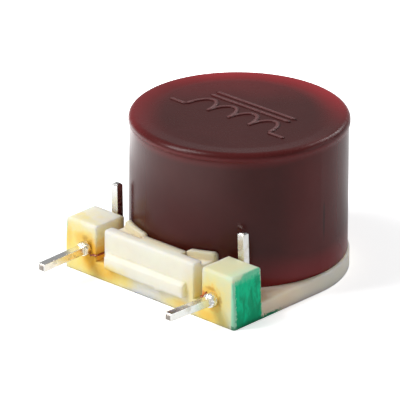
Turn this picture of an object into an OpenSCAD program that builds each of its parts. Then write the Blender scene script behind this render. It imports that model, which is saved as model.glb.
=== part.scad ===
// Toroidal inductor: a wound ferrite ring under a round moulded cap, on a moulded
// carrier whose terminal bar holds two bent square wire pins.
// Millimetres. The origin lies on the cap's axis at the carrier's underside, +Z is up,
// and the terminal bar stands on the -Y side.

/* [Cap] */
// Outer diameter of the cap's wall at its lower edge
cap_d = 19.6; // [18:0.1:21]
// Height of the cap from its lower edge to its top
cap_h = 12.7; // [12:0.05:14]
// Thickness of the cap's wall
cap_wall = 1; // [0.8:0.05:1.2]
// Thickness of the cap's roof
cap_roof = 1.1; // [0.8:0.05:1.4]
// Radius that the wall loses between its lower edge and its rim
cap_draft = 0.06; // [0:0.01:0.12]
// Height of the proud rim round the top
rim_h = 0.7; // [0.5:0.05:1.2]
// How far the rim stands proud of the wall
rim_proud = 0.13; // [0.05:0.01:0.3]
// Edge radius of the rim
rim_round = 0.5; // [0.2:0.05:0.6]
// How far the top face lies below the crest of the rim
top_sink = 0.1; // [0.05:0.01:0.2]
// Width of the gentle slope from the crest down to the face
face_run = 1.3; // [0.5:0.1:3]
// Radius of the corner between the inside wall and the roof
cap_in_round = 0.8; // [0.3:0.1:1.5]

/* [Carrier plate] */
// Thickness of the plate
plate_t = 1.55; // [1.2:0.05:1.8]
// How far the plate's straight sides stand out past the cap
side_margin = 0.4; // [0.1:0.05:0.6]
// How far the plate's round back stands out past the cap
back_margin = 0.05; // [0:0.05:0.3]
// Radius of the plate's upper edge
plate_round = 0.15; // [0.05:0.05:0.4]
// Height of the ring on the plate that centres the cap
ring_h = 1.2; // [0.8:0.1:1.8]
// Thickness of the centring ring
ring_t = 0.8; // [0.6:0.05:1]
// Gap between the centring ring and the cap
ring_clear = 0.1; // [0.05:0.01:0.2]

/* [Terminal bar] */
// Height of the bar above the carrier's underside
bar_h = 4.9; // [4.4:0.1:5.6]
// Depth of the bar from front to back
bar_depth = 3.6; // [3:0.05:3.8]
// How far the bar's front face lies in front of the cap
bar_reach = 1.9; // [1.6:0.05:2.4]
// Width of each end block
end_block_w = 3.8; // [3.3:0.05:4]
// Width of each wire slot
slot_w = 1.05; // [0.7:0.05:1.3]
// How far the bar's ends lean in between the plate and the top
bar_draft = 0.25; // [0:0.01:0.4]
// Edge radius of the bar
bar_round = 0.25; // [0.1:0.05:0.4]
// Gap between the bar's curved back and the cap
bar_clear = 0.2; // [0.1:0.05:0.4]
// Gap between the cap and the straight stretch at the middle of the bar's back
mid_clear = 0.25; // [0.25:0.05:0.7]
// Depth of the solid strip along the top of the middle block's front
strip_depth = 1; // [0.8:0.05:1.3]
// Depth of the hollows behind that strip
hollow_depth = 0.5; // [0.2:0.05:0.8]
// Thickness of the curved tabs behind the hollows
tab_t = 0.5; // [0.3:0.05:0.6]
// How far the tabs rise above the bar
tab_rise = 0.15; // [0.05:0.05:0.4]
// Distance between the two tabs
tab_gap = 4.8; // [3.4:0.1:6]
// Distance of the gap's middle from the bar's middle, towards +X
tab_shift = 0.55; // [0:0.05:0.8]
// Corner radius of the tabs
tab_round = 0.35; // [0.1:0.05:0.5]

/* [Standoff pad] */
// How far the pad stands proud of the bar's front face
pad_proud = 0.5; // [0.3:0.05:0.8]
// Height of the pad
pad_h = 1.35; // [1:0.05:1.8]
// Height of the pad's lower edge above the carrier's underside
pad_low = 1.5; // [1.3:0.05:2.2]
// Length of the pad
pad_w = 9.4; // [8:0.1:10]
// Distance of the pad's middle from the bar's middle, towards -X
pad_shift = 0.25; // [0:0.05:0.5]
// Size of the bevel along the pad's upper edge
pad_bevel = 0.3; // [0.1:0.05:0.4]
// Diameter of the gate mark under the pad
gate_d = 0.8; // [0.5:0.05:1.2]
// Distance of the gate mark from the bar's middle
gate_x = 1.3; // [-3:0.1:3]

/* [Pins] */
// Side of the square pin wire
pin_side = 0.7; // [0.6:0.01:0.8]
// Distance of each pin from the carrier's side, which makes a pitch of 15.24
pin_inset = 2.58; // [2:0.02:2.8]
// Height of the left pin's hole above the carrier's underside
left_z = 2.55; // [2.1:0.05:3]
// Height of the right pin's hole above the carrier's underside
right_z = 2.25; // [2.1:0.05:3]
// Length of the front legs beyond the bar
pin_out = 5.8; // [3:0.1:7]
// Height of the left upright leg above the carrier's underside
left_top = 7.5; // [6.5:0.05:9]
// Height of the right upright leg above the carrier's underside
right_top = 7.25; // [6.5:0.05:9]
// Inside radius of the pins' bend
bend_r = 0.1; // [0.1:0.05:0.5]
// Gap between the bar's back and the start of the bend
bend_clear = 0.05; // [0.04:0.01:0.3]
// Gap round a pin in its hole
pin_fit = 0.02; // [0.01:0.01:0.04]
// Size of the bevels on the sheared tips
tip_bevel = 0.16; // [0.05:0.01:0.25]
// Upward bend of the left front leg, in degrees
left_rise = -1; // [-3:0.5:3]
// Upward bend of the right front leg, in degrees
right_rise = 2; // [-3:0.5:3]
// Sideways lean of the left upright leg, in degrees
left_lean = 1.5; // [-3:0.5:3]
// Sideways lean of the right upright leg, in degrees
right_lean = 2.5; // [-3:0.5:3]

/* [Solder] */
// Radius of the solder collar on the bar's face
solder_r = 0.7; // [0.6:0.01:0.9]
// Length of the solder collar along the pin
solder_h = 0.6; // [0.4:0.05:1.5]

/* [Core and winding] */
// Gap between the winding and the centring ring
coil_clear = 0.25; // [0.15:0.05:0.4]
// Radial width of the core's section
core_w = 2.7; // [2.2:0.05:2.9]
// Height of the core
core_h = 6.4; // [5:0.1:7.2]
// Edge radius of the core
core_round = 0.5; // [0.2:0.05:0.8]
// Thickness of the tape round the core
tape_t = 0.15; // [0.08:0.01:0.25]
// Gap between the core, its tape and the winding
layer_clear = 0.03; // [0.02:0.01:0.06]
// Thickness of the winding on the core's outer side
coil_out_t = 0.9; // [0.6:0.05:1.1]
// Thickness of the winding on the core's upper and lower sides
coil_end_t = 1; // [0.7:0.05:1.3]
// Thickness of the winding in the core's bore
coil_in_t = 1.2; // [0.8:0.05:1.5]
// Corner radius of the winding's section
coil_round = 1.2; // [0.8:0.1:1.6]
// Depth of the grooves between the bundled turns
groove_d = 0.16; // [0.05:0.01:0.25]
// Number of bundled turns that show
turns = 54; // [40:1:60]
// Angle left bare between the winding's start and its finish, in degrees
bare_angle = 30; // [20:1:40]
// Thickness of the foam pad under the winding
foam_t = 0.8; // [0.5:0.05:1.2]
// Distance from the winding's outer side to the foam pad's edge
foam_inset = 1.2; // [0.8:0.1:2]

/* [Leads] */
// Diameter of the enamelled lead wires
lead_d = 0.18; // [0.12:0.01:0.24]
// Gap between a lead and what it lies on
lead_clear = 0.02; // [0.01:0.01:0.04]
// Width and height of the cap's notches for the leads
notch = 0.8; // [0.6:0.05:1]
// Side on which the left lead meets its solder, in degrees above the bar's inward direction
left_touch = -40; // [-60:5:60]
// Side on which the right lead meets its solder, in the same way
right_touch = 40; // [-60:5:60]

/* [Hidden] */

$fn = 64;
eps = 0.01;          // lets two solids overlap where they fuse
past = 1;            // how far a cutting solid runs past the face that it cuts
big = 40;            // longer than any piece

cap_r = cap_d / 2;
cap_in_r = cap_r - cap_wall;
half_w = cap_r + side_margin;
back_y = cap_r + back_margin;
front_y = -(cap_r + bar_reach);
bar_back_y = front_y + bar_depth;
slot_out_x = half_w - end_block_w;
slot_in_x = slot_out_x - slot_w;
bar_arc_r = cap_r + bar_clear;
tab_start = [tab_gap / 2 - tab_shift, tab_gap / 2 + tab_shift];   // left and right

ring_or = cap_in_r - ring_clear;
ring_ir = ring_or - ring_t;
coil_or = ring_ir - coil_clear;
core_or = coil_or - coil_out_t - tape_t - 2 * layer_clear;
core_ir = core_or - core_w;
coil_ir = core_ir - coil_in_t - tape_t - 2 * layer_clear;
coil_low = plate_t + foam_t + layer_clear;
core_low = coil_low + coil_end_t + tape_t + 2 * layer_clear;
coil_high = core_low + core_h + coil_end_t + tape_t + 2 * layer_clear;

pin_x = half_w - pin_inset;
bend_mid_r = bend_r + pin_side / 2;
bend_y = bar_back_y + bend_clear;
leg_start = 0.1;     // how far a bent leg reaches back into the straight stretch before it
solder_skin = 0.03;  // thickness of the solder at the pin's corners, at the collar's end

// ---- outlines ----

// Rectangle from the origin with four round corners
module round_rect(w, h, r) {
    translate([r, 0]) square([w - 2 * r, h]);
    translate([0, r]) square([w, h - 2 * r]);
    for (x = [r, w - r], y = [r, h - r])
        translate([x, y]) circle(r);
}

// Rectangle from the origin with round corners at its top only
module round_top(w, h, r) {
    translate([r, 0]) square([w - 2 * r, h]);
    square([w, h - r]);
    for (x = [r, w - r])
        translate([x, h - r]) circle(r);
}

// ---- base: plate, centring ring and terminal bar ----

// Section of the plate from the axis out to its edge
module plate_edge() {
    square([half_w - plate_round, plate_t]);
    square([half_w, plate_t - plate_round]);
    translate([half_w - plate_round, plate_t - plate_round]) circle(plate_round);
}

// The plate's straight half carries the same edge as its round half
module plate() {
    centre_y = back_y - half_w;
    translate([0, centre_y, 0]) rotate_extrude($fn = 128) plate_edge();
    translate([0, centre_y, 0]) rotate([90, 0, 0]) linear_extrude(centre_y - front_y - bar_depth / 2)
        for (m = [0, 1]) mirror([m, 0]) plate_edge();
}

module centring_ring() {
    translate([0, 0, plate_t - eps]) difference() {
        cylinder(h = ring_h + eps, r = ring_or);
        translate([0, 0, -past]) cylinder(h = ring_h + 2 * past, r = ring_ir);
    }
}

// The centring ring is open where a lead goes through it
module lead_gap() {
    translate([slot_in_x, -big, plate_t]) cube([slot_w, big, ring_h + past]);
}

// Half of the bar seen from the front: upright beside the plate, then leaning in to its
// round upper corner
module drafted_end() {
    top_x = half_w - bar_draft;
    side_h = bar_h - bar_round;
    polygon([[-eps, 0], [half_w, 0], [half_w, plate_t], [top_x, side_h], [-eps, side_h]]);
    translate([-eps, 0]) square([top_x - bar_round + eps, bar_h]);
    translate([top_x - bar_round, side_h]) circle(bar_round);
}

// The whole bar before its slots are cut, with every outer edge rounded
module bar_blank() {
    intersection() {
        translate([-half_w, front_y, 0]) linear_extrude(bar_h)
            round_rect(2 * half_w, bar_depth, bar_round);
        translate([0, bar_back_y, 0]) rotate([90, 0, 0]) linear_extrude(bar_depth)
            for (m = [0, 1]) mirror([m, 0]) drafted_end();
        translate([-half_w, front_y, 0]) rotate([90, 0, 90]) linear_extrude(2 * half_w)
            round_top(bar_depth, bar_h, bar_round);
    }
}

// Wire slot, open at the front, the back and the top. Its floor is the plate.
module wire_slot() {
    translate([slot_in_x, front_y - past, plate_t])
        cube([slot_w, bar_depth + 2 * past, bar_h]);
}

// The bar's back gives way to the cap between the slots
module cap_relief() {
    translate([0, 0, plate_t]) intersection() {
        cylinder(h = bar_h, r = bar_arc_r, $fn = 128);
        translate([-slot_out_x, -big / 2, 0]) cube([2 * slot_out_x, big / 2, bar_h]);
    }
    translate([-tab_start[0], -cap_r - mid_clear, plate_t])
        cube([tab_gap, cap_r, bar_h]);
}

// Shallow hollow between the front strip and the tab that starts at x
module hollow(x) {
    translate([x, front_y + strip_depth, bar_h - hollow_depth])
        cube([slot_in_x - x + eps, cap_r, hollow_depth + past]);
}

// Curved tab that follows the cap from x to the slot
module tab(x) {
    intersection() {
        translate([0, 0, plate_t - eps]) difference() {
            cylinder(h = bar_h, r = bar_arc_r + tab_t, $fn = 128);
            translate([0, 0, -past]) cylinder(h = bar_h + 2 * past, r = bar_arc_r, $fn = 128);
        }
        translate([x, 0, 0]) rotate([90, 0, 0]) linear_extrude(big)
            round_top(slot_in_x - x, bar_h + tab_rise, tab_round);
    }
}

// Proud pad on the front, with a bevelled upper edge and the mark of its gate
module standoff_pad() {
    translate([-pad_w / 2 - pad_shift, front_y, pad_low]) rotate([90, 0, 90]) linear_extrude(pad_w)
        polygon([[eps, 0], [-pad_proud, 0], [-pad_proud, pad_h - pad_bevel],
            [-pad_proud + pad_bevel, pad_h], [eps, pad_h]]);
    translate([gate_x, front_y - pad_proud + gate_d / 2, pad_low - gate_d / 4])
        cylinder(h = gate_d / 2, r = gate_d / 2);
}

// Square hole for the pin at x and z
module pin_hole(x, z) {
    hole = pin_side + 2 * pin_fit;
    translate([x - hole / 2, front_y - past, z - hole / 2])
        cube([hole, bar_depth + 2 * past, hole]);
}

module base() {
    color("antiquewhite") difference() {
        union() {
            plate();
            difference() {
                centring_ring();
                for (m = [0, 1]) mirror([m, 0, 0]) lead_gap();
            }
            difference() {
                bar_blank();
                for (m = [0, 1]) mirror([m, 0, 0]) {
                    wire_slot();
                    hollow(tab_start[1 - m]);
                }
                cap_relief();
            }
            for (m = [0, 1]) mirror([m, 0, 0]) tab(tab_start[1 - m]);
            standoff_pad();
        }
        pin_hole(-pin_x, left_z);
        pin_hole(pin_x, right_z);
    }
}

// ---- cap ----

module cap_outline() {
    rim_r = cap_r - cap_draft + rim_proud;
    polygon([[0, 0], [cap_r, 0], [cap_r - cap_draft, cap_h - rim_h], [0, cap_h - rim_h]]);
    translate([0, cap_h - rim_h]) square([rim_r, rim_h - rim_round]);
    translate([0, cap_h - rim_h]) polygon([[0, 0], [rim_r - rim_round, 0], [rim_r - rim_round, rim_h],
        [rim_r - rim_round - face_run, rim_h - top_sink], [0, rim_h - top_sink]]);
    translate([rim_r - rim_round, cap_h - rim_round]) circle(rim_round);
}

module cap_cavity() {
    inside_h = cap_h - top_sink - cap_roof;
    translate([0, -past]) square([cap_in_r, inside_h + past - cap_in_round]);
    translate([0, -past]) square([cap_in_r - cap_in_round, inside_h + past]);
    translate([cap_in_r - cap_in_round, inside_h - cap_in_round]) circle(cap_in_round);
}

module cap() {
    color([0.36, 0.2, 0.2]) translate([0, 0, plate_t]) difference() {
        rotate_extrude($fn = 128) difference() {
            cap_outline();
            cap_cavity();
        }
        for (m = [0, 1]) mirror([m, 0, 0])
            translate([slot_out_x - notch, -big, -past]) cube([notch, big, notch + past]);
    }
}

// ---- core and winding ----

// Section of a ring round the core, grown by g on every side
module core_section(g) {
    translate([core_ir - g, core_low - g]) round_rect(core_w + 2 * g, core_h + 2 * g, core_round + g);
}

module core() {
    color("dimgray") rotate_extrude($fn = 128) core_section(0);
}

module core_tape() {
    color("gold") rotate_extrude($fn = 128) difference() {
        core_section(layer_clear + tape_t);
        core_section(layer_clear);
    }
}

// Closed outline of a round-cornered rectangle as [radius, height] points: four corner
// arcs of four points each, and the middle of each side
function section_points(r0, r1, z0, z1, c) = [
    for (k = [0:3]) let (
        corner = [[r1 - c, z1 - c], [r0 + c, z1 - c], [r0 + c, z0 + c], [r1 - c, z0 + c]][k],
        middle = [[(r0 + r1) / 2, z1], [r0, (z0 + z1) / 2], [(r0 + r1) / 2, z0], [r1, (z0 + z1) / 2]][k]
    ) each concat([for (a = [0:30:90]) corner + c * [cos(a + 90 * k), sin(a + 90 * k)]], [middle])
];

// The winding's outer section, sunk by d in a groove between two bundles of turns
function coil_section(d) =
    section_points(coil_ir + d, coil_or - d, coil_low + d, coil_high - d, coil_round - d);

// Its inner section. Its flat facets cut the corners, so it clears the taped core by
// twice the layer gap.
function bore_section() = let (g = tape_t + 3 * layer_clear)
    section_points(core_ir - g, core_or + g, core_low - g, core_low + core_h + g, core_round + g);

// A section point turned by an angle from the +X axis
function turned(p, a) = [p[0] * cos(a), p[0] * sin(a), p[1]];

// Quads between two neighbouring rings of n points that start at i and j
function band(i, j, n) = [for (k = [0:n - 1]) [i + k, i + (k + 1) % n, j + (k + 1) % n, j + k]];

// A ridged skin outside and a smooth one inside, swept round the core and closed at
// both ends of the bare angle. Each bundle of turns is a groove and a flat crest.
module winding() {
    outer_steps = 3 * turns;
    first = -90 + bare_angle / 2;
    sweep = 360 - bare_angle;
    n = len(coil_section(0));
    skin = [for (i = [0:outer_steps]) each
        [for (p = coil_section(i % 3 == 0 ? groove_d : 0)) turned(p, first + sweep * i / outer_steps)]];
    bore = [for (i = [0:turns]) each [for (p = bore_section()) turned(p, first + sweep * i / turns)]];
    bore_0 = len(skin);
    last_skin = n * outer_steps;
    last_bore = bore_0 + n * turns;
    color([0.72, 0.36, 0.16]) polyhedron(
        points = concat(skin, bore),
        faces = concat(
            [for (i = [0:outer_steps - 1]) each band(n * i, n * (i + 1), n)],
            [for (i = [0:turns - 1]) each band(bore_0 + n * (i + 1), bore_0 + n * i, n)],
            band(bore_0, 0, n),
            band(last_skin, last_bore, n)
        ),
        convexity = 6
    );
}

module mounting_pad() {
    color("whitesmoke") translate([0, 0, plate_t]) cylinder(h = foam_t, r = coil_or - foam_inset);
}

// ---- leads ----

function unit(v) = v / norm(v);

// Point at radius r and height z, at an angle a from the -Y axis towards +X
function round_cap(r, a, z) = [r * sin(a), -r * cos(a), z];

// Directions along a route, and at each point a normal carried on from the one before
function directions(p) = [for (i = [0:len(p) - 1]) unit(p[min(i + 1, len(p) - 1)] - p[max(i - 1, 0)])];
function carried(t, n, i = 0) = i == len(t) ? [] :
    let (m = unit(n - (n * t[i]) * t[i])) concat([m], carried(t, m, i + 1));

// Route of a lead on the +X side: from the winding's end over the centring ring, down
// through the ring's gap and the cap's notch, along the slot's outer wall, and round the
// edge of the end block to the solder, which stands at a height z and is met at an angle
function lead_route(z, touch_a) = let (
    off = lead_d / 2 + lead_clear,
    end_r = coil_or - 2 * lead_d,
    annulus_r = (coil_or + cap_in_r) / 2,
    end_a = bare_angle / 2,
    gap_a = asin((slot_in_x + slot_out_x) / 2 / annulus_r),
    over_z = plate_t + ring_h + 2 * coil_clear,
    drop = ring_h / 6,
    slot_x = slot_out_x - off,
    slot_z = plate_t + notch - lead_d,
    touch = solder_r + off
) concat(
    [
        round_cap(end_r, end_a - asin(off / end_r), over_z + ring_h),
        round_cap(coil_or - lead_d / 2, end_a - 2.5, over_z + ring_h),
        round_cap(annulus_r - lead_d, end_a - 1.5, over_z + ring_h - lead_d / 2),
        round_cap(annulus_r, end_a + 3, over_z + ring_h - 1.5 * drop)
    ],
    [for (k = [1:4])
        round_cap(annulus_r, end_a + 3 + (gap_a - end_a - 6) * k / 4, over_z + (4.5 - k) * drop)],
    [
        round_cap(annulus_r, gap_a, over_z - 1.5 * drop),
        round_cap(annulus_r, gap_a + 0.5, slot_z + 0.6 * notch),
        round_cap(annulus_r + lead_d, gap_a + 1, slot_z + lead_d / 2),
        [slot_x - lead_d / 4, -sqrt(pow(cap_in_r, 2) - pow(slot_x, 2)) - 0.3 * cap_wall, slot_z],
        [slot_x, -sqrt(pow(cap_r, 2) - pow(slot_x, 2)) - bar_clear, slot_z],
        [slot_x, (front_y + bar_back_y) / 2, slot_z]
    ],
    [for (a = [0:30:90]) [slot_out_x - off * cos(a), front_y - off * sin(a), slot_z]],
    [
        [(slot_out_x + pin_x - touch) / 2, front_y - off, slot_z],
        [pin_x - touch * cos(touch_a), front_y - off, z + touch * sin(touch_a)]
    ]
);

// Round wire of eight sides along a route
module lead_wire(z, touch_a) {
    route = lead_route(z, touch_a);
    along = directions(route);
    across = carried(along, [0, 0, 1]);
    sides = 8;
    rings = [for (i = [0:len(route) - 1]) each [for (k = [0:sides - 1]) let (a = 360 * k / sides)
        route[i] + lead_d / 2 * (cos(a) * across[i] + sin(a) * cross(along[i], across[i]))]];
    last = sides * (len(route) - 1);
    polyhedron(
        points = rings,
        faces = concat(
            [for (i = [0:len(route) - 2]) each band(sides * (i + 1), sides * i, sides)],
            [[for (k = [0:sides - 1]) k], [for (k = [sides - 1:-1:0]) last + k]]
        ),
        convexity = 6
    );
}

module start_lead() {
    color([0.55, 0.16, 0.08]) mirror([1, 0, 0]) lead_wire(left_z, left_touch);
}

module finish_lead() {
    color([0.55, 0.16, 0.08]) lead_wire(right_z, right_touch);
}

// ---- pins and solder ----

// Square wire along +Z with four bevels at its sheared end
module pin_leg(length) {
    cut = tip_bevel * sqrt(2);
    difference() {
        translate([-pin_side / 2, -pin_side / 2, 0]) cube([pin_side, pin_side, length]);
        for (a = [0:90:270]) rotate(a)
            translate([pin_side / 2, 0, length]) rotate([0, 45, 0])
                cube([cut, pin_side + past, cut], center = true);
    }
}

// Where the front leg starts, a little inside the bar, and its direction
module at_front(z, rise) {
    translate([0, front_y, z]) rotate([90 - rise, 0, 0]) translate([0, 0, -leg_start]) children();
}

// One bent wire: front leg, straight stretch in the bar at z, bend, upright leg up to top
module pin(z, top, rise, lean) {
    at_front(z, rise) pin_leg(pin_out + leg_start);
    translate([-pin_side / 2, front_y, z - pin_side / 2])
        cube([pin_side, bend_y - front_y, pin_side]);
    translate([0, bend_y, z + bend_mid_r]) rotate([0, 90, 0]) rotate_extrude(angle = 90)
        translate([bend_r, -pin_side / 2]) square(pin_side);
    translate([0, bend_y + bend_mid_r, z + bend_mid_r]) rotate([0, -lean, 0])
        translate([0, 0, -leg_start]) pin_leg(top - z - bend_mid_r + leg_start);
}

module left_pin() {
    color("silver") translate([-pin_x, 0, 0]) pin(left_z, left_top, left_rise, left_lean);
}

module right_pin() {
    color("silver") translate([pin_x, 0, 0]) pin(right_z, right_top, right_rise, right_lean);
}

// Short solder collar with a rounded end, from the bar's face along the pin
module solder_collar(z, rise) {
    tip_r = pin_side / sqrt(2) + solder_skin;
    difference() {
        translate([0, front_y, z]) rotate([90, 0, 0]) rotate_extrude()
            polygon(concat([[0, 0]],
                [for (k = [0:6]) [tip_r + (solder_r - tip_r) * sqrt(cos(15 * k)), solder_h * sin(15 * k)]],
                [[0, solder_h]]));
        at_front(z, rise) linear_extrude(pin_out) square(pin_side + 2 * eps, center = true);
    }
}

module left_solder() {
    color("gainsboro") translate([-pin_x, 0, 0]) solder_collar(left_z, left_rise);
}

module right_solder() {
    color("gainsboro") translate([pin_x, 0, 0]) solder_collar(right_z, right_rise);
}

base();
cap();
core();
core_tape();
winding();
mounting_pad();
start_lead();
finish_lead();
left_pin();
right_pin();
left_solder();
right_solder();
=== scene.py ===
"""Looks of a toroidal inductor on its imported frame: the finishes, the raised coil symbol and the stage.

Meshes, lamps and the camera are in metres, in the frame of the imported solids: the origin lies on the
cap's axis at the carrier's underside, +Z is up and the terminal bar stands on the -Y side. The named
places and sizes, and all places inside a finish, are in millimetres, because Recipe.place gives
Object coordinates times a thousand.
"""

import math

import bpy
import numpy as np
from bpy.props import FloatProperty, FloatVectorProperty, IntProperty, PointerProperty
from mathutils import Matrix, Vector


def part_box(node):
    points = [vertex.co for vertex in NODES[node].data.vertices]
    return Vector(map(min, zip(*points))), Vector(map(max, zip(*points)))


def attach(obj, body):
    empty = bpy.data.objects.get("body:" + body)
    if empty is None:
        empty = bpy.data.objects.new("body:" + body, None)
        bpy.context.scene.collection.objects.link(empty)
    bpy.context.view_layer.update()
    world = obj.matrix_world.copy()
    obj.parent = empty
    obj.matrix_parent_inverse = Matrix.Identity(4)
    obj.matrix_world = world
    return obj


bl_info = {
    "name": "Toroidal Inductor",
    "version": (1, 0, 0),
    "blender": (4, 5, 0),
    "location": "View3D > Sidebar > Inductor",
    "description": "Finishes and small forms of a capped toroidal inductor",
    "category": "Object",
}

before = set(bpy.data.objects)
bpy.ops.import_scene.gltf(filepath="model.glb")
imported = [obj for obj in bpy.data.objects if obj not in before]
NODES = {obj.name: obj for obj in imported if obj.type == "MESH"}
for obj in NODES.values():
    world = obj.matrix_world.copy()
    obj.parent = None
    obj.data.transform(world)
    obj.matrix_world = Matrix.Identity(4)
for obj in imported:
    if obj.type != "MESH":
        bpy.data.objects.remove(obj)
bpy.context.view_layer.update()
MM = 0.001


def box(node):
    """The low and the high corner of a CAD node, in millimetres."""
    return np.array(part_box(node)) / MM


# ---- places and sizes, in millimetres ----

# Sizes of the part that no node's box gives.
TOP_SINK = 0.1  # how far the cap's face lies below the crest of its rim
SIDE_MARGIN = 0.4  # how far the carrier stands out past the cap's wall
BAR_DEPTH = 3.6  # from the terminal bar's front face to its back
TAB_RISE = 0.15  # how far the tabs stand above the bar
BAR_LEAN = 0.075  # how far the bar's ends lean in for each millimetre above the plate

# Places that follow from the frame.
BAR_FRONT = box("right_solder")[1][1]
BAR_BACK = BAR_FRONT + BAR_DEPTH
BAR_TOP = box("base")[1][2] - TAB_RISE
BAR_END = box("base")[1][0]
CAP_R = BAR_END - SIDE_MARGIN
CAP_FOOT = box("cap")[0][2]
TOP_Z = box("cap")[1][2] - TOP_SINK
PIN_X = box("right_solder").mean(0)[0]
LEFT_PIN_Z = box("left_solder").mean(0)[2]
RIGHT_PIN_Z = box("right_solder").mean(0)[2]
PIN_TIP_Y = box("left_pin")[0][1]

# The point in the cap that the lamps face, in metres. The camera aims beside it, shifted to the right
# and upwards as the camera sees them, in millimetres.
MIDDLE = Vector((0, 0, 7 * MM))
AIM_RIGHT = -3.438
AIM_UP = -1.166


# ---- shades that the finishes mix with the colours of the settings, in linear red, green and blue ----

# Painted shade: nylon by the cap's wall, browner where the cap shades it and shows dark through it.
NYLON_SHADED_BY_CAP = (1.0, 0.76, 0.46)
FLUX_RED = (0.80, 0.16, 0.015)
FLUX_DARK = (0.36, 0.14, 0.01)
FLUX_SPECK = (0.60, 0.45, 0.22)
# Paler green: paint rubbed thin at the top edge, and a painted highlight along the front edge.
PAINT_RUBBED_AND_HIGHLIT = (0.50, 0.86, 0.64)
PAINT_THICK = (0.0, 0.16, 0.07)
PAINT_WASH = (0.55, 0.84, 0.62)
MAROON_CLOUD = (0.062, 0.0085, 0.0075)
# Pale strokes: partly rubbed, partly a painted highlight on the raised strokes.
MAROON_RUBBED_AND_HIGHLIT = (0.20, 0.075, 0.075)
# Painted reflection: a dark line on the cap's right side.
MAROON_REFLECTION_LINE = (0.012, 0.002, 0.002)
TIN_BRIGHT = (0.97, 0.96, 0.94)
TIN_DULL = (0.68, 0.62, 0.50)
TIN_SHEARED = (0.16, 0.11, 0.07)
SOLDER_FILM = (0.88, 0.76, 0.50)
COPPER_PALE = (0.62, 0.27, 0.11)
COPPER_DARK = (0.35, 0.10, 0.03)
FERRITE_PALE = (0.10, 0.10, 0.105)
FERRITE_PORE = (0.015, 0.015, 0.017)
TAPE_LAP = (0.62, 0.34, 0.03)
FOAM_AGED = (0.74, 0.70, 0.60)
SKY_TINT = (0.97, 0.98, 1.0)
WHITE = (1.0, 1.0, 1.0)


# ---- settings ----


def colour(label, description, rgb):
    """A colour setting, in linear red, green and blue."""
    return FloatVectorProperty(
        name=label, description=description, default=rgb, size=3, min=0, max=1, subtype="COLOR"
    )


def length(label, description, millimetres):
    """A length setting, given in millimetres and kept in metres."""
    return FloatProperty(
        name=label, description=description, default=millimetres * MM, min=0, precision=5, unit="LENGTH"
    )


def angle(label, description, degrees):
    """An angle setting, given in degrees and kept in radians."""
    return FloatProperty(
        name=label, description=description, default=math.radians(degrees), unit="ROTATION"
    )


def power(label, description, watts):
    """A setting for the power of a lamp."""
    return FloatProperty(name=label, description=description, default=watts, min=0, unit="POWER")


class InductorSizes(bpy.types.PropertyGroup):
    """Sizes of the coil symbol, which is added to the frame."""

    symbol_length: length("Symbol Length", "Length of the coil symbol with its leads", 13.6)
    hump_height: length("Hump Height", "Height of the symbol's humps", 2.3)
    stroke_width: length("Stroke Width", "Width of the symbol's raised strokes", 0.42)
    stroke_relief: length("Stroke Relief", "How far the strokes stand above the top face", 0.095)
    humps: IntProperty(
        name="Humps", description="Number of humps in the symbol", default=4, min=2, max=8
    )


class InductorColours(bpy.types.PropertyGroup):
    """Colours of the finishes."""

    maroon: colour("Cap", "Dark body of the cap", (0.053, 0.0062, 0.0052))
    maroon_edge: colour("Cap Edge", "Cap where light comes through it", (0.38, 0.024, 0.032))
    nylon: colour("Nylon", "Clean nylon", (0.95, 0.89, 0.74))
    nylon_grey: colour("Aged Nylon", "Greyer patches of the nylon", (0.90, 0.84, 0.70))
    # The plate's browner nylon is partly aged and partly painted shade from the cap.
    nylon_brown_and_shade: colour("Browned Nylon", "Nylon of the plate", (0.92, 0.66, 0.48))
    green_tinge: colour("Tinged Nylon", "Nylon with a little thinned paint on it", (0.74, 0.74, 0.43))
    flux: colour("Flux", "Thin flux stain", (0.98, 0.78, 0.22))
    burnt_flux: colour("Burnt Flux", "Flux stain close to the solder", (0.98, 0.47, 0.005))
    paint: colour("Paint", "Green paint on the bar's ends", (0.0, 0.37, 0.17))
    paint_thin: colour("Thin Paint", "Green paint where the brush left little", (0.0, 0.66, 0.32))
    tin: colour("Tin", "Tinned wire", (0.78, 0.775, 0.75))
    solder: colour("Solder", "Bright solder", (0.92, 0.925, 0.93))
    enamel: colour("Enamel", "Enamel of the lead wires", (0.30, 0.035, 0.008))
    copper: colour("Copper", "Enamelled copper of the winding", (0.55, 0.20, 0.07))
    ferrite: colour("Ferrite", "Core", (0.055, 0.055, 0.06))
    tape: colour("Tape", "Tape round the core", (0.80, 0.50, 0.06))
    foam: colour("Foam", "Adhesive foam", (0.82, 0.81, 0.77))


class StageSettings(bpy.types.PropertyGroup):
    """Camera, lamps and floor."""

    floor: colour("Floor", "Floor and backdrop", (0.80, 0.80, 0.80))
    azimuth: angle("Azimuth", "Direction that the camera looks from, from -Y towards +X", 42.52)
    elevation: angle("Elevation", "Height of the camera above the horizon", 23.31)
    roll: angle("Roll", "Turn of the camera about its own axis", 0.379)
    distance: length("Distance", "Distance from the camera to the point that it aims at", 500)
    lens: FloatProperty(name="Lens", description="Focal length", default=505.2, unit="CAMERA")
    key: power("Key Lamp", "Power of the key lamp", 1.36)
    back: power("Back Lamp", "Power of the back lamp", 0.45)
    side: power("Side Lamp", "Power of the side lamp", 0.2)
    sky: FloatProperty(name="Sky", description="Strength of the world's light", default=0.33, min=0)


# ---- material recipes ----


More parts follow.
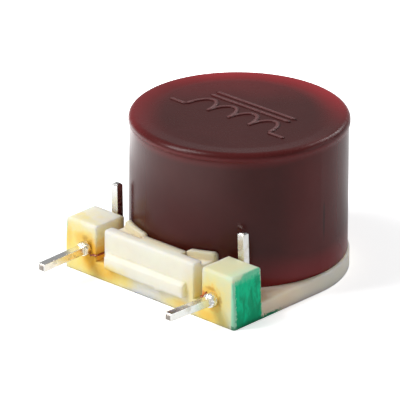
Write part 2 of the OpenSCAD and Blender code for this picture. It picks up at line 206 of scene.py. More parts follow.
class Recipe:
    """A material's node tree, with a short call for each kind of node that the finishes use."""

    def __init__(self, name):
        self.material = bpy.data.materials.new(name)
        self.material.use_nodes = True
        self.nodes = self.material.node_tree.nodes
        self.links = self.material.node_tree.links
        self.nodes.clear()
        here = self.node("ShaderNodeTexCoord").outputs["Object"]
        self.place = self.vector("SCALE", here, scale=1 / MM)
        self.x, self.y, self.z = self.node("ShaderNodeSeparateXYZ", {0: self.place}).outputs

    def node(self, kind, inputs=None, **settings):
        """Adds a node. Each input is either another node's output or a plain value."""
        made = self.nodes.new(kind)
        for key, value in settings.items():
            setattr(made, key, value)
        for key, value in (inputs or {}).items():
            if isinstance(value, bpy.types.NodeSocket):
                self.links.new(value, made.inputs[key])
            else:
                made.inputs[key].default_value = value
        return made

    def math(self, operation, a, b=0.0, clamp=False):
        """One operation on two numbers, each a plain value or a socket."""
        return self.node("ShaderNodeMath", {0: a, 1: b}, operation=operation, use_clamp=clamp).outputs[0]

    def chain(self, operation, first, *others):
        """The same operation carried on from the first number through all the others."""
        result = first
        for other in others:
            result = self.math(operation, result, other)
        return result

    def times(self, *factors):
        """The product of several numbers."""
        return self.chain("MULTIPLY", *factors)

    def plus(self, *terms):
        """The sum of several numbers."""
        return self.chain("ADD", *terms)

    def minus(self, start, *taken):
        """The first number less all the others."""
        return self.chain("SUBTRACT", start, *taken)

    def strongest(self, *shares):
        """The greatest of several shares at each point."""
        return self.chain("MAXIMUM", *shares)

    def vector(self, operation, a, b=None, scale=None):
        """One operation on vectors, which gives a number for a length or a dot product."""
        inputs = {0: a}
        if b is not None:
            inputs[1] = b
        if scale is not None:
            inputs["Scale"] = scale
        made = self.node("ShaderNodeVectorMath", inputs, operation=operation)
        return made.outputs["Value" if operation in ("LENGTH", "DOT_PRODUCT") else "Vector"]

    def from_axis(self):
        """Distance from the cap's axis."""
        return self.vector("LENGTH", self.vector("MULTIPLY", self.place, (1, 1, 0)))

    def round_axis(self):
        """Angle round the cap's axis, in radians."""
        return self.math("ARCTAN2", self.x, self.y)

    def step(self, value, low, high):
        """Rises smoothly from 0 at low to 1 at high, or falls where low is the greater."""
        return self.node(
            "ShaderNodeMapRange",
            {"Value": value, "From Min": low, "From Max": high},
            interpolation_type="SMOOTHSTEP",
        ).outputs["Result"]

    def span(self, value, low, high):
        """Takes 0..1 straight to low..high."""
        inputs = {"Value": value, "To Min": low, "To Max": high}
        return self.node("ShaderNodeMapRange", inputs).outputs["Result"]

    def mix(self, share, a, b):
        """Colour a, with colour b over it by share."""
        a, b = (v if isinstance(v, bpy.types.NodeSocket) else (*v, 1.0) for v in (a, b))
        return self.node("ShaderNodeMix", {0: share, 6: a, 7: b}, data_type="RGBA").outputs[2]

    def noise(self, scale, detail=3.0, roughness=0.5, at=None, distortion=0.0):
        """Soft noise from 0 to 1, whose features are about 1 / scale millimetres wide."""
        inputs = {
            "Vector": at or self.place,
            "Scale": scale,
            "Detail": detail,
            "Roughness": roughness,
            "Distortion": distortion,
        }
        return self.node("ShaderNodeTexNoise", inputs).outputs["Fac"]

    def stretched(self, x, y, z):
        """The place with each axis multiplied. Grain runs along the axis with the smallest number."""
        return self.vector("MULTIPLY", self.place, (x, y, z))

    def spot(self, centre, radii, core, wobble, depth):
        """1 inside an ellipsoid and 0 outside, fading outwards from core times its radii. The noise
        wobble moves its edge in and out by depth times its radii."""
        from_centre = self.vector("SUBTRACT", self.place, centre)
        reach = self.vector("LENGTH", self.vector("DIVIDE", from_centre, radii))
        moved = self.plus(reach, self.times(self.minus(wobble, 0.5), depth))
        return self.step(moved, 1.0, core)

    def blots(self, wobble, *rows):
        """The strongest of several spots with the same wobble. A row holds a spot's centre, radii, core
        and depth, and its share."""
        return self.strongest(
            *(
                self.times(self.spot(centre, radii, core, wobble, depth), share)
                for centre, radii, core, depth, share in rows
            )
        )

    def bump(self, height, depth, normal=None):
        """Bump of a depth in millimetres from a height of 0 to 1, on top of another normal."""
        inputs = {"Height": height, "Distance": depth * MM, "Strength": 1.0}
        if normal is not None:
            inputs["Normal"] = normal
        return self.node("ShaderNodeBump", inputs).outputs["Normal"]

    def soft_edges(self, radius):
        """A normal that rounds every sharp edge by a radius in millimetres."""
        return self.node("ShaderNodeBevel", {"Radius": radius * MM}, samples=6).outputs["Normal"]

    def end(self, surface):
        """Ends the tree with a shader and gives the material."""
        self.node("ShaderNodeOutputMaterial", {"Surface": surface})
        return self.material

    def finish(self, **inputs):
        """Ends the tree with the usual surface shader and gives the material."""
        named = {key.replace("_", " "): value for key, value in inputs.items()}
        return self.end(self.node("ShaderNodeBsdfPrincipled", named).outputs[0])


def dress(names, material):
    """Gives CAD nodes a finish, and leaves their shape alone."""
    for name in names:
        mesh = NODES[name].data
        mesh.materials.clear()
        mesh.materials.append(material)


# ---- surfaces ----


def ring_faces(rings, points):
    """Quads between rings of points that follow each other. Each quad joins a point, the next one in
    its ring, and the two at the same places in the ring after it. The last point of a ring is followed
    by its first."""
    i, j = np.meshgrid(np.arange(rings - 1), np.arange(points), indexing="ij")
    here, beside = i * points + j, i * points + (j + 1) % points
    return np.stack([here, beside, beside + points, here + points], -1).reshape(-1, 4)


def joined(name, grids, material):
    """One smooth mesh object of several closed tubes of points, each capped at both ends."""
    points, faces, start = [], [], 0
    for grid in grids:
        rings, around, _ = grid.shape
        faces += (ring_faces(rings, around) + start).tolist()
        faces.append((np.arange(around)[::-1] + start).tolist())
        faces.append((np.arange(around) + start + (rings - 1) * around).tolist())
        points.append(grid.reshape(-1, 3))
        start += rings * around
    mesh = bpy.data.meshes.new(name)
    mesh.from_pydata(np.concatenate(points).tolist(), [], faces)
    mesh.materials.append(material)
    mesh.shade_smooth()
    made = bpy.data.objects.new(name, mesh)
    bpy.context.scene.collection.objects.link(made)
    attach(made, "root")
    return made


def raised_stroke(path, width, relief, base_z, sunk):
    """A raised bead along a flat path of (x, y) points. At each point, half of an ellipse with full
    shoulders, as wide as the stroke and as high as its relief, stands across the path, and its foot is
    sunk into the face below. Towards both ends the width follows a half circle, so that the stroke
    ends round."""
    along = np.gradient(path, axis=0)
    along /= np.linalg.norm(along, axis=1, keepdims=True)
    across = np.stack([-along[:, 1], along[:, 0]], -1)
    run = np.concatenate([[0], np.cumsum(np.linalg.norm(np.diff(path, axis=0), axis=1))])
    to_end = np.clip(np.minimum(run, run[-1] - run) / (width / 2), 0, 1)
    narrowest = 1e-4
    share = np.sqrt(np.clip(1 - (1 - to_end) ** 2, narrowest, 1))
    arc_points = 9
    turn = np.linspace(0, np.pi, arc_points)
    side = np.concatenate([np.cos(turn), [-1, 1]])
    lift = np.concatenate([np.sin(turn) ** 0.5, [0, 0]])
    foot = np.concatenate([np.zeros(arc_points), [sunk, sunk]])
    half = (share * width / 2)[:, None, None]
    xy = path[:, None, :] + across[:, None, :] * (side[None, :, None] * half)
    z = base_z + lift[None, :] * relief * share[:, None] ** 0.5 - foot[None, :]
    return np.concatenate([xy, z[..., None]], -1)


def coil_strokes(s):
    """The usual sign for a coil, in raised strokes on the cap's face: a row of humps, each half an
    ellipse from one foot to the next, a straight lead at each side, and two straight bars above the
    humps for the core."""
    lead = s.symbol_length * 0.14
    foot_y = -s.hump_height * 0.72
    bar_pitch = s.stroke_width * 1.9
    foot_depth = 0.05 * MM
    left = -s.symbol_length / 2
    first, last = left + lead, -left - lead
    hump = (last - first) / s.humps
    turn = np.linspace(np.pi, 0, 41)
    middles = first + hump * (np.arange(s.humps) + 0.5)
    paths = [
        np.stack([middle + hump / 2 * np.cos(turn), foot_y + s.hump_height * np.sin(turn)], -1)
        for middle in middles
    ]
    straight = np.linspace(0, 1, 25)
    bar_y = foot_y + s.hump_height + bar_pitch
    for x0, x1, y in (
        (left, first, foot_y),
        (last, -left, foot_y),
        (first, last, bar_y),
        (first, last, bar_y + bar_pitch),
    ):
        paths.append(np.stack([x0 + (x1 - x0) * straight, np.full(len(straight), y)], -1))
    return [raised_stroke(p, s.stroke_width, s.stroke_relief, TOP_Z * MM, foot_depth) for p in paths]


# ---- finish of the carrier ----


def by_left_pin(across, up):
    """A place on the bar's front, measured from the left pin."""
    return (-PIN_X + across, BAR_FRONT, LEFT_PIN_Z + up)


def by_right_pin(across, up):
    """A place on the bar's front, measured from the right pin."""
    return (PIN_X + across, BAR_FRONT, RIGHT_PIN_Z + up)


def aged_nylon(r, c, cloud):
    """Nylon with greyer clouds, browner on the plate and along the bar's edge by the cap, which is partly
    aged nylon and partly painted shade from the cap, and tinged green on the right end block."""
    body = r.mix(r.step(cloud, 0.35, 0.75), c.nylon, c.nylon_grey)
    # Painted shade: the plate is browner where the cap keeps light from it, over nylon that aged there.
    on_plate = r.step(r.y, BAR_BACK - 0.25, BAR_BACK + 0.2)
    paler_behind = r.minus(1.0, r.times(r.step(r.y, BAR_BACK + 2.1, BAR_BACK + 10.1), 0.7))
    browned_and_shaded = r.times(on_plate, paler_behind, r.span(cloud, 0.6, 1.0))
    body = r.mix(browned_and_shaded, body, c.nylon_brown_and_shade)
    # Painted shade: the bar's top next to the cap's wall is browner where the cap shades it.
    by_wall = r.step(r.from_axis(), CAP_R + 1.6, CAP_R + 0.6)
    high = r.step(r.z, BAR_TOP - 2.5, BAR_TOP - 0.7)
    body = r.mix(r.times(by_wall, high, 0.9), body, NYLON_SHADED_BY_CAP)
    on_right = r.step(r.x, BAR_END - 4.8, BAR_END - 3.2)
    on_bar = r.step(r.y, BAR_BACK + 0.2, BAR_BACK - 0.2)
    return r.mix(r.times(on_right, on_bar, 0.8), body, c.green_tinge)


def flux_stains(r, c, body, fine):
    """Flux on the nylon: a thin stain, a burnt one nearer the solder, a red spot, and dark spots against
    the collars. Gives the stained colour, the burnt stain's share and the share of all stains."""
    wide = r.noise(0.8, 3, 0.55)
    thin = r.blots(
        wide,
        (by_left_pin(-0.78, -0.45), (3.8, 5.0, 3.8), 0.4, 0.7, 1.0),
        (by_left_pin(2.22, -1.75), (4.6, 4.0, 1.7), 0.45, 0.6, 1.0),
        (by_right_pin(-0.42, -0.65), (3.2, 2.6, 3.6), 0.3, 0.9, 1.0),
        (by_right_pin(-4.02, -1.85), (3.2, 1.8, 1.1), 0.3, 0.7, 0.8),
        (by_right_pin(-2.02, -0.25), (2.0, 1.6, 3.2), 0.2, 0.8, 0.7),
    )
    burnt = r.blots(
        fine,
        (by_left_pin(0.52, -0.45), (1.6, 4.5, 2.3), 0.35, 0.7, 1.0),
        (by_left_pin(-0.58, 0.75), (1.2, 1.0, 1.0), 0.2, 1.0, 0.55),
        (by_left_pin(2.02, -1.55), (2.6, 3.4, 1.1), 0.35, 0.9, 0.7),
        (by_left_pin(-2.28, 0.65), (0.9, 0.9, 1.9), 0.2, 1.0, 0.4),
        (by_right_pin(-0.15, 0.0), (1.5, 1.0, 1.6), 0.4, 1.2, 0.8),
        (by_right_pin(-0.62, -1.75), (1.8, 1.2, 0.9), 0.2, 1.2, 0.6),
        (by_right_pin(-3.62, -1.75), (1.7, 1.2, 0.7), 0.2, 1.1, 0.45),
    )
    dark = r.blots(
        fine,
        (by_left_pin(0.42, 0.25), (0.5, 0.6, 0.9), 0.2, 0.9, 0.75),
        (by_left_pin(-0.08, 0.85), (0.6, 0.6, 0.4), 0.2, 0.9, 0.5),
        (by_right_pin(0.88, 0.05), (0.35, 0.6, 0.8), 0.2, 0.9, 0.5),
        (by_right_pin(-0.22, 0.95), (0.8, 0.6, 0.25), 0.2, 1.0, 0.4),
    )
    red = r.blots(fine, (by_right_pin(-1.12, 0.15), (0.55, 0.9, 0.45), 0.3, 0.7, 0.85))
    body = r.mix(r.times(thin, r.span(fine, 0.65, 1.15)), body, c.flux)
    body = r.mix(r.times(burnt, r.span(fine, 0.55, 1.15)), body, c.burnt_flux)
    body = r.mix(red, body, FLUX_RED)
    body = r.mix(dark, body, FLUX_DARK)
    return body, burnt, r.strongest(r.times(thin, 0.55), r.times(burnt, 0.75), dark)


def end_paint(r, c, body):
    """Paint on the nylon: brushed thinly on the bar's two ends, smeared along the plate's lower edge
    behind them, and washed thinly over the right block's top. Gives the painted colour, the paint's
    share and its brush strokes."""
    brush = r.noise(1.3, 5, 0.6, at=r.stretched(1.0, 1.5, 0.6), distortion=0.5)
    ragged = r.noise(3.2, 5, 0.7)
    stray = r.minus(ragged, 0.5)
    stray_z = r.plus(r.z, stray)

    # Where it lies: on both ends, up to a ragged line that rises towards the back, and in the smear.
    # On the left it keeps to the leaning end face, and creeps a little further in towards the back.
    lean = r.times(r.strongest(r.minus(r.z, CAP_FOOT), 0.0), BAR_LEAN)
    creep = r.plus(r.times(r.step(r.y, BAR_FRONT + 0.8, BAR_FRONT + 1.9), 0.14), r.times(stray, 0.2))
    leftward = r.minus(r.plus(lean, creep), r.x)
    on_left = r.step(leftward, BAR_END - 0.14, BAR_END - 0.04)
    on_right = r.step(r.x, BAR_END - 0.45, BAR_END - 0.3)
    rise = r.times(r.step(r.y, BAR_FRONT + 0.5, BAR_FRONT + 1.8), 0.5)
    below_line = r.step(r.minus(r.plus(rise, BAR_TOP - 0.35), stray_z), -0.1, 0.3)
    stray_y = r.plus(r.y, r.times(stray, 0.6))
    on_bar = r.step(stray_y, BAR_BACK + 0.05, BAR_BACK - 0.15)
    smear = r.times(r.step(stray_z, 0.4, 0.2), r.step(stray_y, BAR_BACK + 3.1, BAR_BACK + 1.5))
    where = r.strongest(r.times(below_line, on_bar), smear)
    painted = r.times(r.strongest(on_left, on_right), where)

    # How thick it lies: thinner higher up, rubbed off at the top edge, paler along the front edge
    # as a painted highlight on its bevel, and gathered low down, in the smear and in one run near
    # the back of the right end.
    green = r.mix(r.step(r.plus(brush, r.times(r.z, 0.07)), 0.5, 0.85), c.paint, c.paint_thin)
    rubbed_and_highlit = r.strongest(
        r.step(r.plus(r.y, r.times(stray, 0.7)), BAR_FRONT + 0.35, BAR_FRONT + 0.2),
        r.times(r.step(stray_z, BAR_TOP - 1.0, BAR_TOP - 0.2), 0.55),
    )
    green = r.mix(r.times(rubbed_and_highlit, 0.7), green, PAINT_RUBBED_AND_HIGHLIT)
    puddle = r.strongest(
        r.times(r.step(stray_z, 0.55, 0.1), r.step(ragged, 0.4, 0.6)),
        r.blots(ragged, ((BAR_END, BAR_BACK - 0.5, BAR_TOP - 1.1), (1.0, 0.6, 0.9), 0.2, 1.6, 0.7)),
        smear,
    )
    green = r.mix(r.times(puddle, 0.7), green, PAINT_THICK)

    near_end = r.step(r.plus(r.x, stray), BAR_END - 1.8, BAR_END - 0.4)
    washed = r.times(near_end, r.step(r.z, BAR_TOP - 0.6, BAR_TOP - 0.1), 0.55)
    return r.mix(painted, r.mix(washed, body, PAINT_WASH), green), painted, brush


def nylon_finish(c):
    """Off-white nylon with flux stains round the pins, green paint on both ends and soft edges."""
    r = Recipe("stained_nylon")
    fine = r.noise(2.2, 5, 0.6)
    body = aged_nylon(r, c, r.noise(0.35, 4))
    body, burnt, stained = flux_stains(r, c, body, fine)
    body, painted, brush = end_paint(r, c, body)
    waves = r.noise(0.7, 2)
    grain = r.noise(9.0, 4, 0.6)
    height = r.plus(r.times(waves, 0.7), r.times(grain, 0.08), r.times(brush, painted, 0.8))
    return r.finish(
        Base_Color=body,
        Roughness=r.minus(r.span(fine, 0.42, 0.58), r.times(burnt, 0.2), r.times(painted, 0.1)),
        Normal=r.bump(height, 0.04, r.soft_edges(0.3)),
        Subsurface_Weight=r.math("SUBTRACT", 0.8, r.strongest(painted, stained), clamp=True),
        Subsurface_Radius=(1.0, 0.85, 0.55),
        Subsurface_Scale=2.2 * MM,
        Specular_IOR_Level=0.12,
    )


# ---- finish of the cap ----


def light_through(r, reach, top):
    """Where light comes through the cap: at the rim, most at the back and on the left, in a band below
    the rim, along the foot, most on the right, and on the flanks."""
    behind = r.minus(r.times(r.y, 0.9), r.times(r.x, 0.35))
    at_back = r.step(r.math("DIVIDE", behind, reach), -0.1, 0.95)
    at_left = r.step(r.math("DIVIDE", r.x, reach), 0.0, -0.95)
    side = r.plus(r.strongest(at_back, r.times(at_left, 0.45)), 0.04)
    rim = r.times(top, r.step(reach, CAP_R - 3.4, CAP_R + 0.4), side)
    crest = r.times(top, r.step(reach, CAP_R - 0.8, CAP_R - 0.2), 0.08)
    band = r.times(r.step(r.z, TOP_Z - 1.55, TOP_Z - 0.55), r.minus(1.0, top), 0.22)
    low = r.step(r.z, CAP_FOOT + 3.65, CAP_FOOT + 0.15)
    foot = r.times(low, r.step(r.x, 2.8 - CAP_R, CAP_R - 1.8), 0.36)
    left_flank = r.step(r.minus(r.y, r.x), 2.0, 12.0)
    right_flank = r.times(r.step(r.x, CAP_R - 1.3, CAP_R), 0.5)
    return r.strongest(rim, crest, band, foot, r.times(r.strongest(left_flank, right_flank), 0.2))


def cap_finish(c):
    """Dark translucent maroon that turns red where light comes through, with pale strokes on its top that
    are partly rubbed and partly a painted highlight, and a painted dark reflection down its right side."""
    r = Recipe("maroon_plastic")
    reach = r.from_axis()
    cloud = r.noise(0.25, 3)
    fine = r.noise(3.0, 4, 0.55)
    top = r.step(r.z, TOP_Z - 0.5, TOP_Z - 0.1)
    body = r.mix(r.step(cloud, 0.3, 0.8), c.maroon, MAROON_CLOUD)
    through = r.times(light_through(r, reach, top), r.span(cloud, 0.75, 1.2))
    body = r.mix(through, body, c.maroon_edge)
    # Paler strokes on the top: partly rubbed, partly a painted highlight.
    on_strokes = r.times(
        r.step(r.z, TOP_Z + 0.04, TOP_Z + 0.08), r.step(reach, CAP_R - 1.5, CAP_R - 1.8)
    )
    body = r.mix(r.times(on_strokes, r.span(fine, 0.4, 1.0)), body, MAROON_RUBBED_AND_HIGHLIT)
    # Painted reflection: a fine dark line down the cap's right side.
    line = r.blots(fine, ((CAP_R - 0.05, 0.45, CAP_FOOT + 5.05), (0.6, 0.2, 2.3), 0.4, 0.5, 0.6))
    body = r.mix(line, body, MAROON_REFLECTION_LINE)
    flow = r.noise(0.5, 3, 0.5, at=r.stretched(1, 1, 0.3))
    skin = r.plus(r.times(flow, 0.6), r.times(r.noise(5.0, 3, 0.5), 0.012))
    return r.finish(
        Base_Color=body,
        Roughness=r.plus(r.span(r.noise(0.6, 2), 0.21, 0.29), r.times(top, 0.02)),
        Normal=r.bump(skin, 0.016, r.soft_edges(0.45)),
        Specular_IOR_Level=0.23,
    )


# ---- finishes of the metal pieces ----


def tin_finish(c):
    """Tinned square wire, drawn along its length, with brighter tin in front of the bar, duller
    patches and dark sheared tips."""
    r = Recipe("tinned_wire")
    lying = r.noise(1.0, 5, 0.6, at=r.stretched(9, 0.5, 9))
    standing = r.noise(1.0, 5, 0.6, at=r.stretched(9, 9, 0.5))
    upright = r.step(r.z, LEFT_PIN_Z + 0.35, LEFT_PIN_Z + 0.65)
    grain = r.node("ShaderNodeMix", {0: upright, 2: lying, 3: standing}).outputs[0]
    dull = r.step(r.noise(1.1, 3, 0.5), 0.48, 0.72)
    tip = r.step(r.y, PIN_TIP_Y + 0.13, PIN_TIP_Y + 0.05)
    tint = r.mix(r.step(r.y, BAR_FRONT + 0.2, BAR_FRONT - 0.2), c.tin, TIN_BRIGHT)
    tint = r.mix(r.times(dull, 0.5), tint, TIN_DULL)
    tint = r.mix(r.times(tip, r.span(grain, 0.4, 1.0)), tint, TIN_SHEARED)
    return r.finish(
        Base_Color=tint,
        Metallic=1.0,
        Roughness=r.plus(r.span(grain, 0.18, 0.28), r.times(dull, 0.1)),
        Normal=r.bump(grain, 0.006, r.soft_edges(0.09)),
    )


def solder_finish(c):
    """Bright solder with a faint frosted skin, a yellow film on the left collar and specks of flux."""
    r = Recipe("bright_solder")
    frost = r.noise(6.0, 5, 0.65)
    speck = r.step(r.noise(3.0, 3, 0.5), 0.66, 0.74)
    film = r.times(r.step(r.x, 0.0, -1.0), r.span(frost, 0.4, 1.0))
    tint = r.mix(film, c.solder, SOLDER_FILM)
    lumps = r.plus(r.noise(1.4, 2), r.times(frost, 0.05))
    return r.finish(
        Base_Color=r.mix(r.times(speck, 0.5), tint, FLUX_SPECK),
        Metallic=1.0,
        Roughness=r.span(frost, 0.16, 0.34),
        Normal=r.bump(lumps, 0.35, r.soft_edges(0.1)),
    )


def enamel_finish(c):
    """Red-brown wire enamel with copper showing through."""
    r = Recipe("wire_enamel")
    patch = r.noise(5.0, 4, 0.6)
    return r.finish(
        Base_Color=r.mix(r.step(patch, 0.5, 0.75), c.enamel, c.copper),
        Metallic=r.span(r.step(patch, 0.5, 0.8), 0.1, 0.7),
        Roughness=r.span(patch, 0.2, 0.35),
        Normal=r.bump(patch, 0.006),
        Coat_Weight=0.2,
        Coat_Roughness=0.15,
    )


def copper_finish(c):
    """Enamelled copper in many fine turns, each bundle with its own shade."""
    r = Recipe("enamelled_copper")
    bundle = r.node("ShaderNodeCombineXYZ", {0: r.times(r.round_axis(), 22.0)}).outputs[0]
    shade = r.step(r.noise(1.0, 2, at=bundle), 0.35, 0.65)
    strands = r.math("SINE", r.times(r.round_axis(), 1200.0))
    fine = r.noise(4.0, 4, 0.6)
    tint = r.mix(shade, c.copper, COPPER_PALE)
    return r.finish(
        Base_Color=r.mix(r.times(r.step(fine, 0.6, 0.8), 0.5), tint, COPPER_DARK),
        Metallic=0.85,
        Roughness=r.span(fine, 0.2, 0.38),
        Normal=r.bump(r.span(strands, 0.4, 0.6), 0.04),
        Coat_Weight=0.4,
    )


# ---- finishes of the core, its tape and the foam ----


def ferrite_finish(c):
    """Dull grey sintered ferrite with fine pores."""
    r = Recipe("ferrite")
    grain = r.noise(12.0, 5, 0.7)
    pore = r.step(r.noise(7.0, 2, 0.5), 0.7, 0.76)
    return r.finish(
        Base_Color=r.mix(pore, r.mix(grain, c.ferrite, FERRITE_PALE), FERRITE_PORE),
        Metallic=0.3,
        Roughness=r.span(grain, 0.5, 0.75),
        Normal=r.bump(r.minus(grain, pore), 0.02),
    )


def tape_finish(c):
    """Yellow polyester film in lapped turns."""
    r = Recipe("polyester_tape")
    lap = r.step(r.math("FRACT", r.times(r.round_axis(), 4.2)), 0.86, 0.94)
    crease = r.noise(1.5, 5, 0.6, distortion=0.5)
    return r.finish(
        Base_Color=r.mix(r.times(lap, 0.45), c.tape, TAPE_LAP),
        Roughness=r.span(crease, 0.18, 0.4),
        Normal=r.bump(r.plus(crease, lap), 0.03),
        Coat_Weight=0.3,
    )


def foam_finish(c):
    """White closed-cell foam."""
    r = Recipe("adhesive_foam")
    inputs = {"Vector": r.place, "Scale": 6.0}
    cells = r.node("ShaderNodeTexVoronoi", inputs, feature="F1").outputs["Distance"]
    return r.finish(
        Base_Color=r.mix(r.step(r.noise(0.8, 3), 0.4, 0.7), c.foam, FOAM_AGED),
        Roughness=r.span(cells, 0.7, 0.95),
        Normal=r.bump(cells, 0.06),
        Subsurface_Weight=0.2,
        Subsurface_Scale=0.5 * MM,
    )


# ---- finish of the floor ----


def floor_finish(s):
    """Plain pale floor that keeps shadows. It also shines for the camera and in the part's gloss, more
    in a patch on the key lamp's side a little way from the part, and more far away, where it rises as
    a backdrop."""
    r = Recipe("floor")
    path = r.node("ShaderNodeLightPath").outputs
    seen = r.strongest(path["Is Camera Ray"], path["Is Glossy Ray"], path["Is Transmission Ray"])
    reach = r.vector("LENGTH", r.place)
    toward_key = (-0.85, -0.5, 0)
    key_side = r.step(r.vector("DOT_PRODUCT", r.place, toward_key), -20.0, 24.0)
    near = r.times(r.step(reach, 27.0, 36.0), r.step(reach, 160.0, 80.0))
    patch = r.times(key_side, near, 1.8)
    far = r.times(r.step(reach, 250.0, 600.0), 0.25)
    direct = r.times(path["Is Camera Ray"], 0.41)
    shine = r.times(seen, r.plus(patch, far, direct, 0.15))
    tone = r.mix(r.noise(0.02, 2), s.floor, tuple(0.985 * v for v in s.floor))
    plain = r.node("ShaderNodeBsdfDiffuse", {"Color": tone})
    glow = r.node("ShaderNodeEmission", {"Color": (*WHITE, 1.0), "Strength": shine})
    return r.end(r.node("ShaderNodeAddShader", {0: plain.outputs[0], 1: glow.outputs[0]}).outputs[0])


# ---- operators ----


class INDUCTOR_OT_base(bpy.types.Operator):
    """Gives the carrier its stained nylon and painted ends"""

    bl_idname = "inductor.base"
    bl_label = "Carrier"

    def execute(self, context):
        dress(["base"], nylon_finish(context.scene.inductor_colours))
        return {"FINISHED"}


class INDUCTOR_OT_cap(bpy.types.Operator):
    """Gives the cap its maroon plastic and raises the coil symbol on its top"""

    bl_idname = "inductor.cap"
    bl_label = "Cap and Symbol"

    def execute(self, context):
        plastic = cap_finish(context.scene.inductor_colours)
        dress(["cap"], plastic)
        joined("coil_symbol", coil_strokes(context.scene.inductor_sizes), plastic)
        return {"FINISHED"}


class INDUCTOR_OT_pins(bpy.types.Operator):
    """Gives both pins their tinned wire"""

    bl_idname = "inductor.pins"
    bl_label = "Pins"

    def execute(self, context):
        dress(["left_pin", "right_pin"], tin_finish(context.scene.inductor_colours))
        return {"FINISHED"}


class INDUCTOR_OT_solder(bpy.types.Operator):
    """Gives the solder collars round both pins their bright metal"""

    bl_idname = "inductor.solder"
    bl_label = "Solder"

    def execute(self, context):
        dress(["left_solder", "right_solder"], solder_finish(context.scene.inductor_colours))
        return {"FINISHED"}


class INDUCTOR_OT_leads(bpy.types.Operator):
    """Gives the lead wires their enamel"""

    bl_idname = "inductor.leads"
    bl_label = "Leads"

    def execute(self, context):
        dress(["start_lead", "finish_lead"], enamel_finish(context.scene.inductor_colours))
        return {"FINISHED"}


class INDUCTOR_OT_coil(bpy.types.Operator):
    """Gives the winding, the taped core and the foam under them their finishes"""

    bl_idname = "inductor.coil"
    bl_label = "Core and Winding"

    def execute(self, context):
        c = context.scene.inductor_colours
        dress(["winding"], copper_finish(c))
        dress(["core"], ferrite_finish(c))
        dress(["core_tape"], tape_finish(c))
        dress(["mounting_pad"], foam_finish(c))
        return {"FINISHED"}


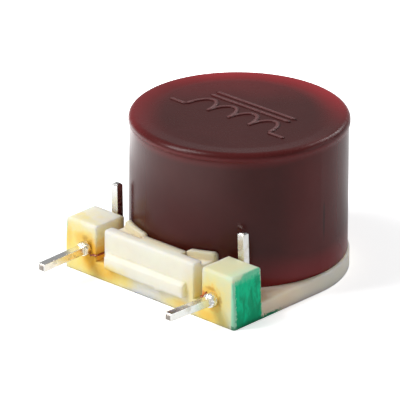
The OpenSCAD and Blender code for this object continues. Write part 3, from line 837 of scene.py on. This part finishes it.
class INDUCTOR_OT_stage(bpy.types.Operator):
    """Sets up the floor, the lamps, the world and the camera"""

    bl_idname = "inductor.stage"
    bl_label = "Stage"

    def execute(self, context):
        s = context.scene.inductor_stage
        context.scene.view_settings.view_transform = "Standard"
        self.floor(context, s)
        self.world(context, s)
        self.lamp(context, "key_lamp", s.key, place=(-0.155, -0.225, 0.30), size=(0.11, 0.28))
        self.lamp(context, "back_lamp", s.back, place=(-0.045, 0.35, 0.28), size=(0.08, 0.18))
        self.lamp(context, "side_lamp", s.side, place=(0.31, 0.31, 0.14), size=(0.30, 0.08))
        self.camera(context, s)
        return {"FINISHED"}

    def floor(self, context, s):
        """A round floor just below the carrier's underside: rings of points whose radius grows evenly,
        and whose height rises smoothly over the outer part as a backdrop for low views."""
        flat_radius, full_radius, backdrop_height, drop = 1.0, 1.5, 0.16, 0.02 * MM
        rings, points = 40, 64
        radius = np.linspace(MM, full_radius, rings)[:, None]
        turn = np.linspace(0, 2 * np.pi, points, endpoint=False)[None, :]
        rise = np.clip((radius - flat_radius) / (full_radius - flat_radius), 0, 1)
        height = backdrop_height * rise * rise * (3 - 2 * rise) - drop
        height = np.repeat(height, points, axis=1)
        grid = np.stack([radius * np.cos(turn), radius * np.sin(turn), height], -1)
        mesh = bpy.data.meshes.new("floor")
        faces = ring_faces(rings, points).tolist() + [list(range(points))]
        mesh.from_pydata(grid.reshape(-1, 3).tolist(), [], faces)
        mesh.materials.append(floor_finish(s))
        made = bpy.data.objects.new("floor", mesh)
        context.scene.collection.objects.link(made)

    def world(self, context, s):
        """An even, slightly cool sky."""
        world = bpy.data.worlds.new("studio")
        world.use_nodes = True
        context.scene.world = world
        back = world.node_tree.nodes["Background"]
        back.inputs["Color"].default_value = (*SKY_TINT, 1.0)
        back.inputs["Strength"].default_value = s.sky

    def lamp(self, context, name, watts, place, size):
        """A soft rectangular lamp, of a width and a height in metres, that faces the cap's middle."""
        data = bpy.data.lights.new(name, "AREA")
        data.shape = "RECTANGLE"
        data.size, data.size_y = size
        data.energy = watts
        made = bpy.data.objects.new(name, data)
        made.location = place
        made.rotation_mode = "QUATERNION"
        made.rotation_quaternion = (MIDDLE - Vector(place)).to_track_quat("-Z", "Y")
        context.scene.collection.objects.link(made)

    def camera(self, context, s):
        """A camera that looks at its target from azimuth, elevation and distance, and rolls about its
        own axis."""
        data = bpy.data.cameras.new("camera")
        data.lens = s.lens
        data.clip_start, data.clip_end = 0.01, 10
        a, e = s.azimuth, s.elevation
        back = Vector((math.sin(a) * math.cos(e), -math.cos(a) * math.cos(e), math.sin(e)))
        right = Vector((math.cos(a), math.sin(a), 0))
        up = back.cross(right)
        target = MIDDLE + right * AIM_RIGHT * MM + up * AIM_UP * MM
        turned = math.cos(s.roll) * right + math.sin(s.roll) * up
        upright = math.cos(s.roll) * up - math.sin(s.roll) * right
        made = bpy.data.objects.new("camera", data)
        rotation = Matrix((turned, upright, back)).transposed().to_4x4()
        made.matrix_world = Matrix.Translation(target + back * s.distance) @ rotation
        context.scene.collection.objects.link(made)
        context.scene.camera = made


class INDUCTOR_PT_panel(bpy.types.Panel):
    """Lists the operators and the settings"""

    bl_idname = "INDUCTOR_PT_panel"
    bl_label = "Toroidal Inductor"
    bl_space_type = "VIEW_3D"
    bl_region_type = "UI"
    bl_category = "Inductor"

    def draw(self, context):
        for operator in OPERATORS:
            self.layout.operator(operator.bl_idname)
        for group in SETTINGS:
            rows = self.layout.box()
            settings = getattr(context.scene, group)
            for name in settings.bl_rna.properties.keys():
                if name not in ("rna_type", "name"):
                    rows.prop(settings, name)


OPERATORS = (
    INDUCTOR_OT_stage,
    INDUCTOR_OT_base,
    INDUCTOR_OT_cap,
    INDUCTOR_OT_pins,
    INDUCTOR_OT_solder,
    INDUCTOR_OT_leads,
    INDUCTOR_OT_coil,
)
SETTINGS = {
    "inductor_sizes": InductorSizes,
    "inductor_colours": InductorColours,
    "inductor_stage": StageSettings,
}


def register():
    """Registers the settings, the operators and the panel."""
    for group in SETTINGS.values():
        bpy.utils.register_class(group)
    for cls in (*OPERATORS, INDUCTOR_PT_panel):
        bpy.utils.register_class(cls)
    for name, group in SETTINGS.items():
        setattr(bpy.types.Scene, name, PointerProperty(type=group))


def unregister():
    """Takes everything out again, in the other order."""
    for name in SETTINGS:
        delattr(bpy.types.Scene, name)
    for cls in (INDUCTOR_PT_panel, *reversed(OPERATORS)):
        bpy.utils.unregister_class(cls)
    for group in SETTINGS.values():
        bpy.utils.unregister_class(group)


def main():
    """Builds everything in order."""
    register()
    bpy.ops.inductor.stage()
    bpy.ops.inductor.base()
    bpy.ops.inductor.cap()
    bpy.ops.inductor.pins()
    bpy.ops.inductor.solder()
    bpy.ops.inductor.leads()
    bpy.ops.inductor.coil()


if __name__ == "__main__":
    main()
